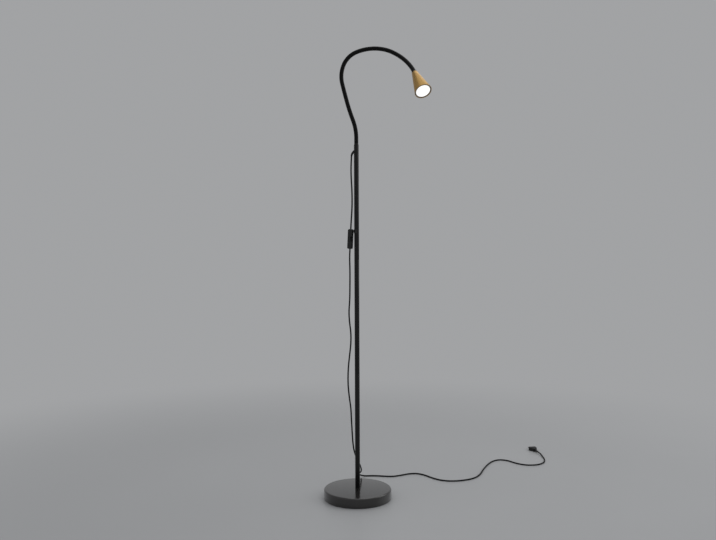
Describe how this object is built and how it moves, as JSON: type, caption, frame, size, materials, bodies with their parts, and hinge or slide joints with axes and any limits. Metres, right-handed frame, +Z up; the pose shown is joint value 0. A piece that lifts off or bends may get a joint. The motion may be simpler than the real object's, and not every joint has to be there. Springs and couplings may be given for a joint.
{
  "type": "gooseneck reading floor lamp",
  "caption": "Slim reading floor lamp: round weighted foot, straight black pole, bendable gooseneck neck, small brass cone spot, cord with in-line rocker switch and flat plug.",
  "frame": {"origin": "centre of the foot's underside, on the floor", "axes": "+Z up along the pole, +X to the right in the picture, +Y away from the camera"},
  "size_m": [0.8516, 0.7631, 1.4833],
  "materials": {
    "foot_paint": "satin",
    "pole_paint": "satin",
    "foot_iron": "matte",
    "foot_rubber": "matte",
    "zinc_steel": "satin",
    "neck_sleeve": "matte",
    "shade_brass": "satin",
    "holder_ceramic": "matte",
    "bulb_white": "satin",
    "bulb_glow": "gloss",
    "contact_brass": "satin",
    "switch_plastic": "satin",
    "cord_sheath": "satin",
    "lead_sheath": "satin",
    "plug_plastic": "satin"
  },
  "bodies": {
    "stand": {"foot_cover": "foot_paint", "foot_weight": "foot_iron", "foot_pad": "foot_rubber", "foot_washer": "zinc_steel", "foot_bolt": "zinc_steel", "foot_bush": "zinc_steel", "pole_lower": "pole_paint", "pole_middle": "pole_paint", "pole_upper": "pole_paint", "pole_joiner_lower": "zinc_steel", "pole_joiner_upper": "zinc_steel", "cord_relief": "plug_plastic", "neck_socket": "pole_paint", "switch_back": "switch_plastic", "switch_cover": "switch_plastic", "switch_screws": "zinc_steel", "switch_contacts": "contact_brass", "switch_clip": "switch_plastic", "cord_upper": "cord_sheath", "cord_lower": "cord_sheath", "plug_relief": "plug_plastic", "plug_body": "plug_plastic", "plug_pins": "zinc_steel", "plug_sleeves": "plug_plastic", "neck_lead_start": "lead_sheath"},
    "neck_1": {"neck_link_1": "neck_sleeve", "neck_lead_1": "lead_sheath"},
    "neck_2": {"neck_link_2": "neck_sleeve", "neck_lead_2": "lead_sheath"},
    "neck_3": {"neck_link_3": "neck_sleeve", "neck_lead_3": "lead_sheath"},
    "neck_4": {"neck_link_4": "neck_sleeve", "neck_lead_4": "lead_sheath"},
    "neck_5": {"neck_link_5": "neck_sleeve", "neck_lead_5": "lead_sheath"},
    "neck_6": {"neck_link_6": "neck_sleeve", "neck_lead_6": "lead_sheath"},
    "neck_7": {"neck_link_7": "neck_sleeve", "neck_lead_7": "lead_sheath"},
    "neck_8": {"neck_link_8": "neck_sleeve", "neck_lead_8": "lead_sheath"},
    "neck_9": {"neck_link_9": "neck_sleeve", "neck_lead_9": "lead_sheath", "neck_ferrule": "pole_paint", "head_shell": "shade_brass", "head_nipple": "zinc_steel", "nipple_nuts": "zinc_steel", "holder_bracket": "zinc_steel", "bulb_holder": "holder_ceramic", "holder_screws": "zinc_steel", "holder_wires": "lead_sheath", "bulb_body": "bulb_white", "bulb_lens": "bulb_glow", "bulb_pins": "zinc_steel"},
    "rocker": {"switch_rocker": "switch_plastic"}
  },
  "joints": [
    {"name": "neck_bend_1", "type": "hinge", "parent": "stand", "child": "neck_1", "pos_m": [0, 0, 1.1815], "axis": [0, 1, 0], "range_deg": [-24, 24]},
    {"name": "neck_bend_2", "type": "hinge", "parent": "neck_1", "child": "neck_2", "pos_m": [-0.01103, 0, 1.24217], "axis": [0.9361, 0, 0.3518], "range_deg": [-24, 24]},
    {"name": "neck_bend_3", "type": "hinge", "parent": "neck_2", "child": "neck_3", "pos_m": [-0.03008, 0, 1.30115], "axis": [0, 1, 0], "range_deg": [-24, 24]},
    {"name": "neck_bend_4", "type": "hinge", "parent": "neck_3", "child": "neck_4", "pos_m": [-0.04544, 0, 1.36121], "axis": [0.9724, 0, 0.2334], "range_deg": [-24, 24]},
    {"name": "neck_bend_5", "type": "hinge", "parent": "neck_4", "child": "neck_5", "pos_m": [-0.04087, 0, 1.42205], "axis": [0, 1, 0], "range_deg": [-24, 24]},
    {"name": "neck_bend_6", "type": "hinge", "parent": "neck_5", "child": "neck_6", "pos_m": [0.00175, 0, 1.46482], "axis": [0.3795, 0, -0.9252], "range_deg": [-24, 24]},
    {"name": "neck_bend_7", "type": "hinge", "parent": "neck_6", "child": "neck_7", "pos_m": [0.06222, 0, 1.47657], "axis": [-0.003, 0.8241, -0.5664], "range_deg": [-24, 24]},
    {"name": "neck_bend_8", "type": "hinge", "parent": "neck_7", "child": "neck_8", "pos_m": [0.12005, -0.01078, 1.46057], "axis": [-0.5969, -0.4559, -0.6602], "range_deg": [-24, 24]},
    {"name": "neck_bend_9", "type": "hinge", "parent": "neck_8", "child": "neck_9", "pos_m": [0.16235, -0.03611, 1.42351], "axis": [-0.003, 0.8241, -0.5664], "range_deg": [-24, 24]},
    {"name": "rocker_tilt", "type": "hinge", "parent": "stand", "child": "rocker", "pos_m": [-0.01883, -0.00316, 0.85041], "axis": [0.8653, 0.4996, -0.0405], "range_deg": [-20, 0]}
  ]
}
